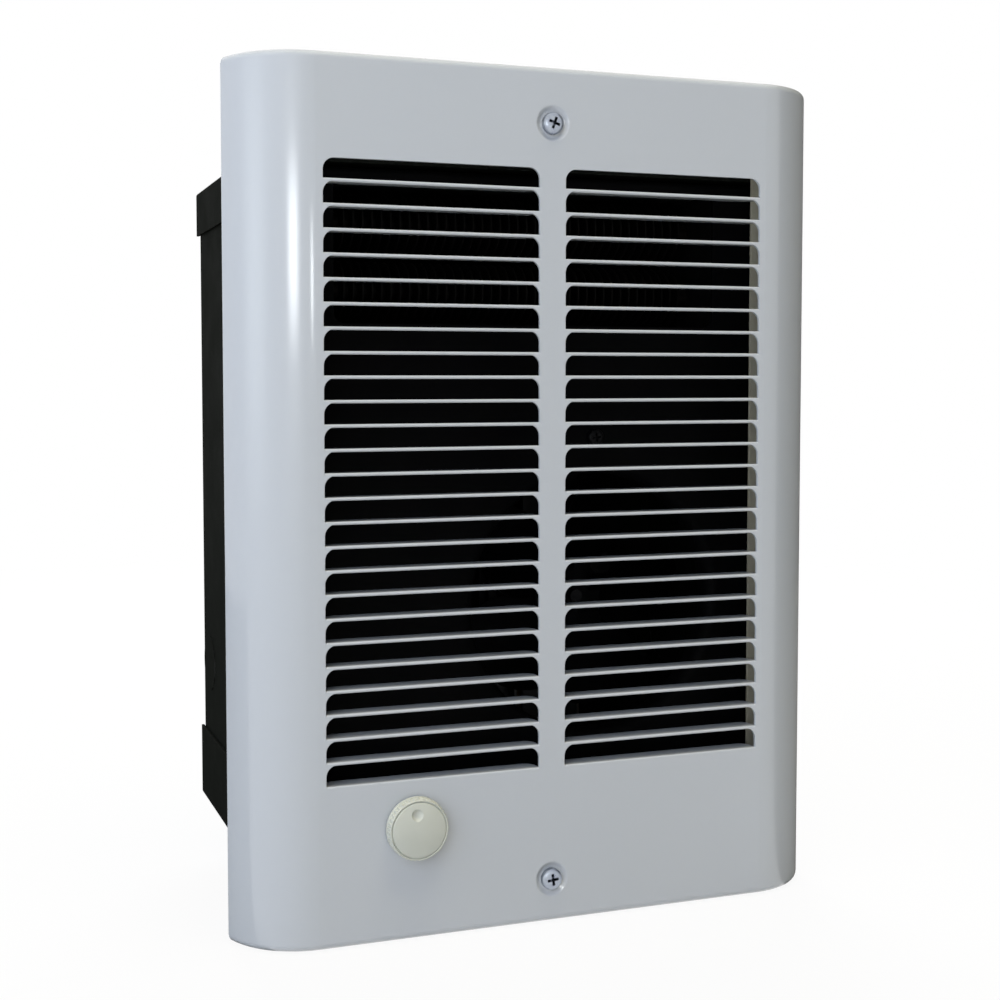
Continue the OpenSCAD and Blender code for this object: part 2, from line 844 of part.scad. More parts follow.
// Copper loops that shade the poles, each threaded through two of the lamination's eyes
module shading_rings() {
    e = rotor_r + air_gap + 2.3;
    color("chocolate")
        on_y(fan_x, stack_y, fan_z)
            for (s = [-1, 1])
                for (z = [-2, stack_h])
                    rotate([0, 0, s * 32])
                        for (u = [-1, 1])
                            translate([u * e, 0, z]) cylinder(r = 1.6, h = 2);
}

coil_w = stack_w - 2 * leg_w - 1;
flange_t = 1.2;

// Section of the coil former round the yoke, grown by the given distance
module yoke_2d(grow) {
    translate([-grow, window_hi - grow])
        square([stack_h + 2 * grow, yoke_hi - window_hi + 2 * grow]);
}

module coil_bobbin() {
    color("ivory")
        translate([fan_x - coil_w / 2, stack_y, fan_z]) mirror([0, 0, 1]) rotate([90, 0, 90])
            difference() {
                union() {
                    linear_extrude(coil_w) yoke_2d(1);
                    for (z = [0, coil_w - flange_t])
                        translate([0, 0, z]) linear_extrude(flange_t) yoke_2d(7);
                }
                translate([0, 0, -1]) linear_extrude(coil_w + 2) yoke_2d(0.1);
            }
}

module coil_winding() {
    color("peru")
        translate([fan_x - coil_w / 2 + flange_t, stack_y, fan_z]) mirror([0, 0, 1])
            rotate([90, 0, 90])
                difference() {
                    linear_extrude(coil_w - 2 * flange_t)
                        translate([-6.4, window_hi - 6.4])
                            round_rect(stack_h + 12.8, yoke_hi - window_hi + 12.8, 4);
                    translate([0, 0, -1]) linear_extrude(coil_w) yoke_2d(1);
                }
}

// Bridge over an end of the stack: a bar on two legs with the bearing's boss in its middle;
// local +Z points at the stack
module bearing_bridge(leg_l, boss_front, boss_back) {
    difference() {
        union() {
            translate([-stack_w / 2, -8, 0]) linear_extrude(bridge_t) round_rect(stack_w, 16, 4);
            for (x = [-motor_screw_x, motor_screw_x])
                translate([x, 0, bridge_t - EPS]) cylinder(r = 5, h = leg_l - bridge_t + EPS);
            translate([0, 0, -boss_front]) cylinder(r = boss_r, h = boss_front + boss_back);
        }
        translate([0, 0, -boss_front - 1]) cylinder(r = bush_r, h = boss_front + boss_back + 2);
        for (x = [-motor_screw_x, motor_screw_x])
            translate([x, 0, -1]) cylinder(r = 2.1, h = leg_l + 2);
    }
}

module front_bearing_bridge() {
    color("silver")
        on_y(fan_x, bridge_y, fan_z) bearing_bridge(stack_y - bridge_y, 4, 4);
}

module rear_bearing_bridge() {
    color("silver")
        on_y(fan_x, back_bridge_y + bridge_t, fan_z) mirror([0, 0, 1])
            bearing_bridge(back_bridge_y + bridge_t - stack_y - stack_h, 4, 4);
}

module bearing_bushes() {
    color("darkgoldenrod")
        for (y = [bridge_y - 4, back_bridge_y + bridge_t - 4])
            on_y(fan_x, y, fan_z) ring(bush_r, shaft_d / 2 + running, bush_l);
}

// Folded strap that holds the motor behind the inlet
module motor_cradle() {
    inner = cradle_reach - cradle_t;
    color("darkgray")
        difference() {
            translate([fan_x, 0, fan_z]) {
                translate([-cradle_w / 2, 0, 0]) rotate([90, 0, 90])
                    linear_extrude(cradle_w)
                        translate([deck_y + deck_t, 0]) rotate(-90)
                            sheet_channel_2d(2 * cradle_reach, bridge_y - deck_y - deck_t,
                                             4, cradle_t);
                for (s = [-1, 1])
                    translate([-cradle_w / 2, deck_y + deck_t,
                               s > 0 ? inner : -cradle_reach - cradle_foot])
                        cube([cradle_w, cradle_t, cradle_foot + cradle_t]);
                translate([-stack_w / 2, bridge_y, -14]) rotate([90, 0, 0])
                    linear_extrude(cradle_t) round_rect(stack_w, 28, 5);
            }
            on_y(fan_x, cradle_y - 1, fan_z) cylinder(r = boss_r + 0.5, h = cradle_t + 2);
            for (x = [-motor_screw_x, motor_screw_x])
                on_y(fan_x + x, cradle_y - 1, fan_z) cylinder(r = 2.1, h = cradle_t + 2);
            for (s = [-1, 1])
                on_y(fan_x, deck_y, fan_z + s * (cradle_reach + cradle_foot / 2))
                    cylinder(r = 1.8, h = 10);
        }
}

module cradle_screws() {
    color("silver")
        for (s = [-1, 1])
            on_y(fan_x, deck_y, fan_z + s * (cradle_reach + cradle_foot / 2))
                pan_screw(3.2, 1.9, 1.75, 7);
}

module motor_screws() {
    color("silver")
        for (x = [-motor_screw_x, motor_screw_x])
            on_y(fan_x + x, cradle_y, fan_z)
                pan_screw(3.6, 2.4, 2, back_bridge_y + bridge_t - cradle_y + 6);
}

module motor_nuts() {
    color("silver")
        for (x = [-motor_screw_x, motor_screw_x])
            on_y(fan_x + x, back_bridge_y + bridge_t, fan_z)
                difference() {
                    cylinder(r = 4.04, h = 3, $fn = 6);
                    translate([0, 0, -1]) cylinder(r = 2.02, h = 5);
                }
}

// ---- Leads ----

function unit(v) = v / norm(v);

// Point on the smooth curve through a route, between its points i and i + 1
function curve(p, i, t) =
    let (
        a = p[max(i - 1, 0)],
        b = p[i],
        c = p[i + 1],
        d = p[min(i + 2, len(p) - 1)]
    )
    0.5 * (2 * b + (c - a) * t + (2 * a - 5 * b + 4 * c - d) * t * t
        + (3 * b - a - 3 * c + d) * t * t * t);

function route_points(p) = concat(
    [for (i = [0:len(p) - 2], k = [0:lead_steps - 1]) curve(p, i, k / lead_steps)],
    [p[len(p) - 1]]
);

function tangent(q, i) = unit(q[min(i + 1, len(q) - 1)] - q[max(i - 1, 0)]);

// Directions across the tube, carried along the route without twist
function carried(n, t) = unit(n - (n * t) * t);
function normals(q, i = 0, n = [0.3, 0.8, 0.5]) =
    let (m = carried(n, tangent(q, i)))
    i == len(q) - 1 ? [m] : concat([m], normals(q, i + 1, m));

module lead(route, tint) {
    q = route_points(route);
    n = normals(q);
    last = len(q) - 1;
    points = [
        for (i = [0:last], k = [0:lead_sides - 1])
            let (a = k * 360 / lead_sides, b = cross(tangent(q, i), n[i]))
            q[i] + lead_r * (cos(a) * n[i] + sin(a) * b)
    ];
    walls = [
        for (i = [0:last - 1], k = [0:lead_sides - 1])
            let (m = (k + 1) % lead_sides, u = i * lead_sides, w = u + lead_sides)
            each [[u + k, w + k, w + m], [u + k, w + m, u + m]]
    ];
    ends = [
        [for (k = [0:lead_sides - 1]) k],
        [for (k = [lead_sides - 1:-1:0]) last * lead_sides + k]
    ];
    color(tint) polyhedron(points, concat(walls, ends));
}

module supply_lead_a() { lead(ROUTE_SUPPLY_A, "black"); }
module supply_lead_b() { lead(ROUTE_SUPPLY_B, "firebrick"); }
module thermostat_lead() { lead(ROUTE_STAT_LIMIT, "black"); }
module element_lead() { lead(ROUTE_LIMIT_ELEMENT, "black"); }
module motor_lead_a() { lead(ROUTE_MOTOR_A, "black"); }
module motor_lead_b() { lead(ROUTE_MOTOR_B, "black"); }

front_cover();
cover_screws();
thermostat_knob();
box_wrap();
box_top();
box_bottom();
ground_screw();
fan_deck();
deck_screws();
element_duct();
duct_rivets();
element_sheath();
element_fins();
element_terminals();
limit_switch();
limit_screws();
thermostat_body();
thermostat_shaft();
thermostat_nut();
thermostat_terminals();
fan_blades();
fan_hub();
motor_shaft();
motor_rotor();
stator_core();
shading_rings();
coil_bobbin();
coil_winding();
front_bearing_bridge();
rear_bearing_bridge();
bearing_bushes();
motor_cradle();
cradle_screws();
motor_screws();
motor_nuts();
supply_lead_a();
supply_lead_b();
thermostat_lead();
element_lead();
motor_lead_a();
motor_lead_b();
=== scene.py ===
import json
import math

import bmesh
import bpy
from mathutils import Matrix, Vector


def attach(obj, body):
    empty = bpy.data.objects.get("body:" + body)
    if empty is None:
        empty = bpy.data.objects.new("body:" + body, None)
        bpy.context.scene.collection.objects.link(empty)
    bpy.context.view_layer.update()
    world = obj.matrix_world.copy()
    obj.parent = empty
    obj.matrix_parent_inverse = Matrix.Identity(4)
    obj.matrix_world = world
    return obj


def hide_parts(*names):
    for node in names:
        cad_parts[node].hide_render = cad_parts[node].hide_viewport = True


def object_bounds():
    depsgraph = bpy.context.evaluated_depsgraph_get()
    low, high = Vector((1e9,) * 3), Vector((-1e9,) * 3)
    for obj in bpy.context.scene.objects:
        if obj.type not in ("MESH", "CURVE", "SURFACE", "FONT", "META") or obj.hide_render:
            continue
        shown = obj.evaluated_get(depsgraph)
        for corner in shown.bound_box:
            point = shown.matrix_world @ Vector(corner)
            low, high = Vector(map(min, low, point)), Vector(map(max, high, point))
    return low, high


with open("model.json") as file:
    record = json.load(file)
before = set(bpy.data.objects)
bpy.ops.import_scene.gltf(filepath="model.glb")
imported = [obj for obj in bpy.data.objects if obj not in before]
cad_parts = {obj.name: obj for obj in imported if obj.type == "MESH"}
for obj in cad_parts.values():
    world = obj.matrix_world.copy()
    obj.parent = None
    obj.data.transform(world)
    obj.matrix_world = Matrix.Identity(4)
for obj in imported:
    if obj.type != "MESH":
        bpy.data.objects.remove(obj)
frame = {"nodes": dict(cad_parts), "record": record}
cad_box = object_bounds()
nodes = frame["nodes"]
MM = 0.001


# ---- Camera ----

# Where the picture was taken from, fitted to the louvers, screws and outline of the photograph
CAMERA_AT = Vector((-0.20793, -0.48299, 0.04367))
CAMERA_YAW = math.radians(18.457)
CAMERA_PITCH = math.radians(-2.892)
CAMERA_ROLL = math.radians(-0.182)
CAMERA_SENSOR = 36
CAMERA_LENS = 51.01
CAMERA_SHIFT = (0.09, -0.038)
CAMERA_CLIP = (0.01, 50)


def make_camera():
    data = bpy.data.cameras.new("camera")
    data.sensor_width = CAMERA_SENSOR
    data.lens = CAMERA_LENS
    data.shift_x, data.shift_y = CAMERA_SHIFT
    data.clip_start, data.clip_end = CAMERA_CLIP
    cam = bpy.data.objects.new("camera", data)
    bpy.context.scene.collection.objects.link(cam)
    ahead = Vector((
        math.sin(CAMERA_YAW) * math.cos(CAMERA_PITCH),
        math.cos(CAMERA_YAW) * math.cos(CAMERA_PITCH),
        math.sin(CAMERA_PITCH),
    ))
    right = ahead.cross(Vector((0, 0, 1))).normalized()
    up = right.cross(ahead)
    c, s = math.cos(CAMERA_ROLL), math.sin(CAMERA_ROLL)
    right, up = c * right + s * up, c * up - s * right
    turn = Matrix((right, up, -ahead)).transposed()
    cam.matrix_world = Matrix.Translation(CAMERA_AT) @ turn.to_4x4()
    bpy.context.scene.camera = cam


make_camera()


# ---- Materials ----

# Metres between a wave texture's bands where its scale is 1
BAND_PITCH = 0.314

BEVEL_SAMPLES = 4
AIR_SAMPLES = 8


class Look:
    """One slot's node material, built up step by step around a Principled shader.

    Sizes and depths are in millimetres. Colours are linear."""

    def __init__(self, slot, color, rough, metal=0.0, coat=0.0, coat_rough=0.1, specular=0.5):
        self.slot = slot
        self.material = bpy.data.materials.new(slot)
        self.material.use_nodes = True
        self.tree = self.material.node_tree
        self.shader = self.tree.nodes["Principled BSDF"]
        self.shader.inputs["Base Color"].default_value = (*color, 1)
        self.shader.inputs["Roughness"].default_value = rough
        self.shader.inputs["Metallic"].default_value = metal
        self.shader.inputs["Coat Weight"].default_value = coat
        self.shader.inputs["Coat Roughness"].default_value = coat_rough
        self.shader.inputs["Specular IOR Level"].default_value = specular
        self.color = (*color, 1)
        self.color_out = None
        self.normal_out = None
        self.place = self.add("ShaderNodeTexCoord").outputs["Object"]

    def add(self, kind, **settings):
        made = self.tree.nodes.new(kind)
        for key, value in settings.items():
            setattr(made, key, value)
        return made

    def join(self, out, socket):
        self.tree.links.new(out, socket)

    def product(self, a, b):
        both = self.add("ShaderNodeMath", operation="MULTIPLY")
        self.join(a, both.inputs[0])
        self.join(b, both.inputs[1])
        return both.outputs[0]

    def stretched(self, stretch):
        """The place on the object, scaled along each axis where a grain is drawn out."""
        if stretch is None:
            return self.place
        scale = self.add("ShaderNodeVectorMath", operation="MULTIPLY")
        scale.inputs[1].default_value = stretch
        self.join(self.place, scale.inputs[0])
        return scale.outputs[0]

    def noise(self, size, detail, stretch=None):
        """Noise whose features are about size across."""
        made = self.add("ShaderNodeTexNoise")
        made.inputs["Scale"].default_value = 1 / (size * MM)
        made.inputs["Detail"].default_value = detail
        self.join(self.stretched(stretch), made.inputs["Vector"])
        return made.outputs["Fac"]

    def ramp(self, out, low, high, to_low=0.0, to_high=1.0):
        """Maps low to to_low and high to to_high, and holds these beyond."""
        made = self.add("ShaderNodeMapRange", clamp=True)
        made.inputs["From Min"].default_value = low
        made.inputs["From Max"].default_value = high
        made.inputs["To Min"].default_value = to_low
        made.inputs["To Max"].default_value = to_high
        self.join(out, made.inputs["Value"])
        return made.outputs["Result"]

    def tint(self, fac, color):
        """Turns the colour into another where fac is 1."""
        mix = self.add("ShaderNodeMix", data_type="RGBA")
        self.join(fac, mix.inputs["Factor"])
        if self.color_out is None:
            mix.inputs["A"].default_value = self.color
        else:
            self.join(self.color_out, mix.inputs["A"])
        mix.inputs["B"].default_value = (*color, 1)
        self.color_out = mix.outputs["Result"]
        self.join(self.color_out, self.shader.inputs["Base Color"])
        return self

    def mottle(self, size, color, low=0.35, high=0.75, stretch=None):
        """Adds patches of another colour, which fade in from the noise's low to its high."""
        return self.tint(self.ramp(self.noise(size, 3.0, stretch), low, high), color)

    def sheen_map(self, size, low, high, stretch=None):
        """Varies the roughness from low to high."""
        out = self.ramp(self.noise(size, 3.0, stretch), 0.3, 0.7, low, high)
        self.join(out, self.shader.inputs["Roughness"])
        return self

    def rounded(self, radius):
        """Softens sharp edges, as paint or a tumbled edge does."""
        bevel = self.add("ShaderNodeBevel", samples=BEVEL_SAMPLES)
        bevel.inputs["Radius"].default_value = radius * MM
        self.normal_out = bevel.outputs["Normal"]
        self.join(self.normal_out, self.shader.inputs["Normal"])
        return self

    def bump_by(self, height, strength, depth):
        """Raises the surface by a texture, over the bump or rounding it already has."""
        bump = self.add("ShaderNodeBump")
        bump.inputs["Strength"].default_value = strength
        bump.inputs["Distance"].default_value = depth * MM
        self.join(height, bump.inputs["Height"])
        if self.normal_out is not None:
            self.join(self.normal_out, bump.inputs["Normal"])
        self.normal_out = bump.outputs["Normal"]
        self.join(self.normal_out, self.shader.inputs["Normal"])
        return self

    def bump(self, size, strength, depth, stretch=None, detail=2.0):
        return self.bump_by(self.noise(size, detail, stretch), strength, depth)

    def inside(self, low, high):
        """1 inside a box given by two corners in metres, and 0 outside it."""
        apart = self.add("ShaderNodeSeparateXYZ")
        self.join(self.place, apart.inputs[0])
        blur = 0.0001
        out = None
        for axis in range(3):
            middle, half = (low[axis] + high[axis]) / 2, (high[axis] - low[axis]) / 2
            off = self.add("ShaderNodeMath", operation="SUBTRACT")
            off.inputs[1].default_value = middle
            self.join(apart.outputs[axis], off.inputs[0])
            size = self.add("ShaderNodeMath", operation="ABSOLUTE")
            self.join(off.outputs[0], size.inputs[0])
            here = self.ramp(size.outputs[0], half + blur, half - blur)
            out = here if out is None else self.product(out, here)
        return out

    def layers(self, axis, pitch, depth):
        """Fine ridges along one axis, as of stacked sheets or a turned part."""
        wave = self.add("ShaderNodeTexWave", wave_type="BANDS", bands_direction=axis)
        wave.inputs["Scale"].default_value = BAND_PITCH / (pitch * MM)
        wave.inputs["Distortion"].default_value = 0.4
        self.join(self.place, wave.inputs["Vector"])
        return self.bump_by(wave.outputs["Fac"], 0.6, depth)

    def painted_shade_in_hollows(self, reach, color):
        """Paints shade into recesses and crevices that are narrower than reach."""
        open_air = self.add("ShaderNodeAmbientOcclusion", samples=AIR_SAMPLES)
        open_air.inputs["Distance"].default_value = reach * MM
        return self.tint(self.ramp(open_air.outputs["AO"], 0.72, 0.40), color)

    def edge_wear(self, radius, color, amount):
        """Shows another colour, broken up by noise, where a rounded edge leans off its face."""
        bevel = self.add("ShaderNodeBevel", samples=BEVEL_SAMPLES)
        bevel.inputs["Radius"].default_value = radius * MM
        flat = self.add("ShaderNodeNewGeometry").outputs["Normal"]
        dot = self.add("ShaderNodeVectorMath", operation="DOT_PRODUCT")
        self.join(bevel.outputs["Normal"], dot.inputs[0])
        self.join(flat, dot.inputs[1])
        edge = self.ramp(dot.outputs["Value"], 0.98, 0.86)
        broken = self.ramp(self.noise(3.0, 4.0), 0.45, 0.62, 0.0, amount)
        return self.tint(self.product(edge, broken), color)


# Two corners, in metres, of a box that holds the cover's flanges on the wall but not its front,
# where the enamel gets painted warm light
FLANGE_BOX = ((-0.112, -0.0016, -0.146), (0.112, 0.001, 0.1545))


def enamel():
    """Off-white stoved enamel, glossy over a fine orange peel, with painted warm light on the
    flanges.
    """
    look = Look("cover_enamel", (0.452, 0.473, 0.492), 0.30, coat=1.0, coat_rough=0.07)
    look.mottle(70, (0.448, 0.470, 0.490), 0.35, 0.7)
    look.mottle(0.35, (0.436, 0.455, 0.472), 0.60, 0.80)
    # painted light: a lighter, warmer colour on the flanges, for the light that reaches them
    # through the slots
    look.tint(look.inside(*FLANGE_BOX), (0.50, 0.46, 0.34))
    look.rounded(0.3)
    return look.bump(1.7, 0.10, 0.03, detail=1.5)


def box_paint():
    """Thin black paint, rubbed off a little along the edges."""
    look = Look("box_paint", (0.0080, 0.0088, 0.0072), 0.58, specular=0.002)
    look.mottle(35, (0.0096, 0.0103, 0.0086))
    look.mottle(1.1, (0.0065, 0.0071, 0.0057), 0.5, 0.8)
    look.edge_wear(0.6, (0.06, 0.06, 0.055), 0.5)
    look.sheen_map(18, 0.52, 0.66)
    look.rounded(0.3)
    return look.bump(1.0, 0.2, 0.04)


def deck_paint():
    """Flat black paint behind the grille."""
    look = Look("deck_paint", (0.0018, 0.0019, 0.0021), 0.5, specular=0.02)
    look.mottle(20, (0.0026, 0.0026, 0.0027))
    look.sheen_map(15, 0.44, 0.6)
    look.rounded(0.3)
    return look.bump(0.9, 0.3, 0.05)


def phosphate():
    """Black screws with a crystalline, oiled finish."""
    look = Look("phosphate", (0.0045, 0.0045, 0.0050), 0.45, metal=0.6, specular=0.1)
    look.mottle(0.8, (0.008, 0.008, 0.008), 0.45, 0.7)
    return look.sheen_map(1.0, 0.38, 0.56).bump(0.3, 0.2, 0.02)


def zinc():
    """Bright zinc with a blue cast, with painted shade in its recesses."""
    look = Look("zinc", (0.40, 0.44, 0.50), 0.34, metal=1.0)
    look.mottle(2.5, (0.31, 0.34, 0.42), 0.4, 0.7)
    look.mottle(0.7, (0.46, 0.50, 0.52), 0.5, 0.8)
    # painted shade in the cross recesses and in the crevice under each head
    look.painted_shade_in_hollows(1.2, (0.010, 0.013, 0.020))
    look.sheen_map(1.5, 0.26, 0.44)
    look.rounded(0.12)
    return look.bump(0.4, 0.15, 0.02)


def knob_plastic():
    """Ivory plastic that light enters a little."""
    look = Look("knob_plastic", (0.530, 0.540, 0.470), 0.38, specular=0.4)
    look.mottle(9, (0.505, 0.515, 0.445))
    look.shader.inputs["Subsurface Weight"].default_value = 0.06
    look.shader.inputs["Subsurface Radius"].default_value = (0.002, 0.0018, 0.0012)
    look.sheen_map(4, 0.34, 0.44)
    return look.bump(0.35, 0.12, 0.03)


def green_paint():
    look = Look("green_paint", (0.05, 0.26, 0.10), 0.35, metal=0.6)
    look.mottle(3, (0.04, 0.20, 0.09))
    return look.sheen_map(2, 0.28, 0.45).bump(0.5, 0.15, 0.02)


def galvanised():
    """Galvanised sheet that heat has dulled, with its spangle, kept near black as painted shade
    for the dark inside of the heater.
    """
    # painted shade: a base colour far darker than galvanised sheet, since the duct and cradle
    # lie in the heater's shade
    look = Look("galvanised", (0.018, 0.018, 0.019), 0.46, metal=0.9)
    spangle = look.add("ShaderNodeTexVoronoi", feature="F1")
    spangle.inputs["Scale"].default_value = 140
    look.join(look.place, spangle.inputs["Vector"])
    look.tint(look.ramp(spangle.outputs["Distance"], 0.1, 0.7), (0.013, 0.013, 0.014))
    look.mottle(14, (0.010, 0.0098, 0.0095), 0.45, 0.8)
    look.sheen_map(6, 0.38, 0.58)
    return look.bump(0.8, 0.2, 0.03)


def burnt_and_shaded_steel(slot, color, stain):
    """Steel that heat has darkened, and darker still as painted shade for the dark inside of the
    heater.
    """
    look = Look(slot, color, 0.55, metal=0.4, specular=0.05)
    look.mottle(12, stain, 0.4, 0.7)
    look.mottle(1.0, tuple(0.6 * c for c in color), 0.5, 0.75)
    look.sheen_map(5, 0.40, 0.60)
    return look.bump(0.5, 0.25, 0.03)


def ceramic():
    """Glazed ceramic."""
    look = Look("ceramic", (0.72, 0.68, 0.60), 0.22, coat=0.5, coat_rough=0.06)
    look.mottle(2.0, (0.64, 0.60, 0.52), 0.5, 0.7)
    return look.sheen_map(2, 0.18, 0.30).bump(0.8, 0.15, 0.03)


def moulding(slot, color, shade, rough=0.40):
    """Moulded plastic with slight flow marks."""
    look = Look(slot, color, rough, specular=0.4)
    look.mottle(6, shade, 0.4, 0.7)
    look.sheen_map(3, rough - 0.06, rough + 0.08)
    look.rounded(0.25)
    return look.bump(0.4, 0.2, 0.03)


def bare_metal(slot, color, shade, rough=0.3, stretch=None, metal=1.0):
    """Plain metal with a grain, which stretch draws out."""
    look = Look(slot, color, rough, metal=metal)
    look.mottle(5, shade, 0.4, 0.75, stretch=stretch)
    look.sheen_map(2, rough - 0.07, rough + 0.10, stretch=stretch)
    return look.bump(0.5, 0.2, 0.02, stretch=stretch)


def core_steel():
    """The cut edges of stacked laminations, kept near black as painted shade for the dark inside
    of the heater.
    """
    look = Look("core_steel", (0.030, 0.031, 0.033), 0.45, metal=0.85)
    look.mottle(8, (0.020, 0.019, 0.018), 0.4, 0.7)
    look.sheen_map(3, 0.38, 0.55)
    return look.layers("Y", 0.5, 0.08)


def winding():
    """Varnished winding wire, far darker than copper as painted shade for the dark inside of the
    heater.
    """
    look = Look("winding_tape", (0.10, 0.060, 0.018), 0.40, specular=0.2)
    look.mottle(3, (0.07, 0.040, 0.012), 0.4, 0.7)
    return look.layers("X", 0.7, 0.1)


def insulation(slot, color, shade):
    """Soft plastic round a wire."""
    look = Look(slot, color, 0.45, specular=0.4)
    look.mottle(5, shade, 0.4, 0.7)
    return look.sheen_map(2, 0.38, 0.55).bump(0.6, 0.15, 0.03)


LOOKS = {look.slot: look for look in (
    enamel(),
    zinc(),
    knob_plastic(),
    box_paint(),
    green_paint(),
    deck_paint(),
    phosphate(),
    galvanised(),
    # the element's sheath and fins: heat stain, darkened further as painted shade
    burnt_and_shaded_steel("sheath_steel", (0.0050, 0.0046, 0.0042), (0.008, 0.006, 0.005)),
    burnt_and_shaded_steel("fin_steel", (0.0026, 0.0025, 0.0023), (0.0035, 0.003, 0.0025)),
    ceramic(),
    moulding("bakelite", (0.10, 0.035, 0.02), (0.07, 0.025, 0.015), 0.3),
    moulding("black_plastic", (0.02, 0.02, 0.02), (0.014, 0.014, 0.014)),
    bare_metal("brass", (0.62, 0.47, 0.20), (0.50, 0.36, 0.15)),
    # fan blades and shaft near black: painted shade for the dark inside of the heater, not the
    # metals' own colour
    bare_metal("fan_aluminium", (0.0022, 0.0023, 0.0026), (0.0016, 0.0017, 0.0019), 0.5),
    bare_metal("shaft_steel", (0.006, 0.006, 0.0065), (0.004, 0.004, 0.0045),
               stretch=(1, 12, 1)),
    bare_metal("rotor_steel", (0.38, 0.39, 0.41), (0.28, 0.28, 0.29), 0.35),
    core_steel(),
    bare_metal("copper", (0.62, 0.28, 0.14), (0.45, 0.19, 0.10), 0.28),
    # the bobbin is near black: painted shade for the dark inside of the heater
    moulding("bobbin_plastic", (0.035, 0.033, 0.028), (0.028, 0.026, 0.022)),
    winding(),
    bare_metal("bronze", (0.42, 0.28, 0.12), (0.33, 0.21, 0.09), 0.4),
    # the fan's hub near black: painted shade for the dark inside of the heater
    bare_metal("diecast", (0.022, 0.023, 0.025), (0.016, 0.017, 0.018), 0.46, metal=0.9),
    insulation("lead_black", (0.018, 0.018, 0.018), (0.028, 0.028, 0.028)),
    insulation("lead_red", (0.30, 0.02, 0.015), (0.22, 0.015, 0.01)),
)}


def dress(piece, slot):
    """Gives a piece the look of a material slot."""
    piece.data.materials.clear()
    piece.data.materials.append(LOOKS[slot].material)


for part in frame["record"]["subparts"]:
    dress(nodes[part["node"]], part["material_slot"])


# ---- Shapes ----


class Shape:
    """Points and faces of one mesh, in millimetres, built up ring by ring.

    Its place function turns a ring's own coordinates into the part's."""

    def __init__(self, place=None):
        self.place = place or (lambda x, y, z: (x, y, z))
        self.points = []
        self.faces = []

    def ring(self, points):
        start = len(self.points)
        self.points += [self.place(*p) for p in points]
        return range(start, len(self.points))

    def skin(self, rings):
        """Joins each ring to the next, and its last point to its first."""
        for a, b in zip(rings, rings[1:]):
            for k in range(len(a)):
                m = (k + 1) % len(a)
                self.faces.append((a[k], a[m], b[m], b[k]))

    def closed(self, rings):
        """A skin with a face over its first and its last ring."""
        self.skin(rings)
        self.faces += [tuple(rings[0]), tuple(rings[-1])]

    def made(self, name, slot, body, *replaced, sharp=32):
        """Makes the piece, which rides on a body and stands for the replaced CAD nodes."""
        mesh = bpy.data.meshes.new(name)
        mesh.from_pydata([Vector(p) * MM for p in self.points], [], self.faces)
        build = bmesh.new()
        build.from_mesh(mesh)
        bmesh.ops.recalc_face_normals(build, faces=build.faces)
        build.to_mesh(mesh)
        build.free()
        mesh.shade_smooth()
        mesh.set_sharp_from_angle(angle=math.radians(sharp))
        piece = bpy.data.objects.new(name, mesh)
        bpy.context.scene.collection.objects.link(piece)
        dress(piece, slot)
        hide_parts(*replaced)
        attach(piece, body)


def facing_y(x0, y0, z0):
    """A place whose own Z runs into the wall, as the CAD sets its screws."""
    return lambda x, y, z: (x0 + x, y0 + z, z0 - y)


def facing_x(x0, y0, z0):
    """A place whose own Z runs to the right."""
    return lambda x, y, z: (x0 + z, y0 + y, z0 - x)


def facing_down(x0, y0, z0):
    """A place whose own Z runs down."""
    return lambda x, y, z: (x0 + x, y0 + y, z0 - z)


def smooth_step(t):
    """Rises smoothly from 0 to 1 as t does."""
    t = min(max(t, 0.0), 1.0)
    return t * t * (3 - 2 * t)


# ---- Knob ----

KNOB_AT = (-52, -21, -108.6)
KNOB_H = 5.2
KNOB_RIBS = 44
KNOB_SIDES = 10 * KNOB_RIBS

# The half-round ribs, and the radius at which they stand on the grip
RIB_R = 0.38
RIBS_AT = 10.5

# The dome inside the knob's groove, and the ball that dimples it: where it is, its radius, how
# far its middle is above the dome's top, and how soft the dimple's lip is
DOME_R = 9.7
DOME_H = 1.0
POINTER = (-1.007, 5.712)
POINTER_R = 2.6
POINTER_UP = 1.2
POINTER_LIP = 0.07

# Radius, height and share of the ribs, from the bore inside round the foot to the dome's edge
KNOB_ROWS = [
    (0.2, 2.7, 0), (3.0, 2.7, 0), (3.0, -2.8, 0), (3.2, -3.0, 0), (4.2, -3.0, 0),
    (4.4, -2.8, 0), (4.4, 0.0, 0), (5.0, 0.0, 0), (5.0, 2.0, 0), (9.4, 2.0, 0),
    (9.4, 0.1, 0), (9.5, 0.0, 0), (10.85, 0.0, 0), (10.96, 0.06, 0), (11.0, 0.2, 0),
    (11.0, 0.95, 0), (10.95, 1.1, 0), (10.8, 1.18, 0), (10.58, 1.22, 0.2),
    (10.51, 1.35, 1), (10.53, 1.9, 1), (10.55, 2.5, 1), (10.57, 3.1, 1), (10.58, 3.45, 1),
    (10.59, 3.62, 0.7), (10.6, 3.72, 0.2), (10.6, 3.8, 0), (10.6, 3.95, 0), (10.56, 4.08, 0),
    (10.45, 4.17, 0), (10.3, 4.2, 0), (10.18, 4.16, 0), (10.11, 4.05, 0), (10.09, 3.8, 0),
    (10.0, 3.7, 0), (9.82, 3.7, 0), (9.72, 3.8, 0), (9.7, 4.02, 0), (9.66, 4.12, 0),
]

# Radii of the dome's rings, which lie closest where the dimple is
DOME_RINGS = [9.55, 9.35, 9.1, *(8.8 - 0.3 * k for k in range(3)),
              *(8.0 - 0.1 * k for k in range(46)), 3.2, 2.7, 2.1, 1.5, 0.9, 0.3]


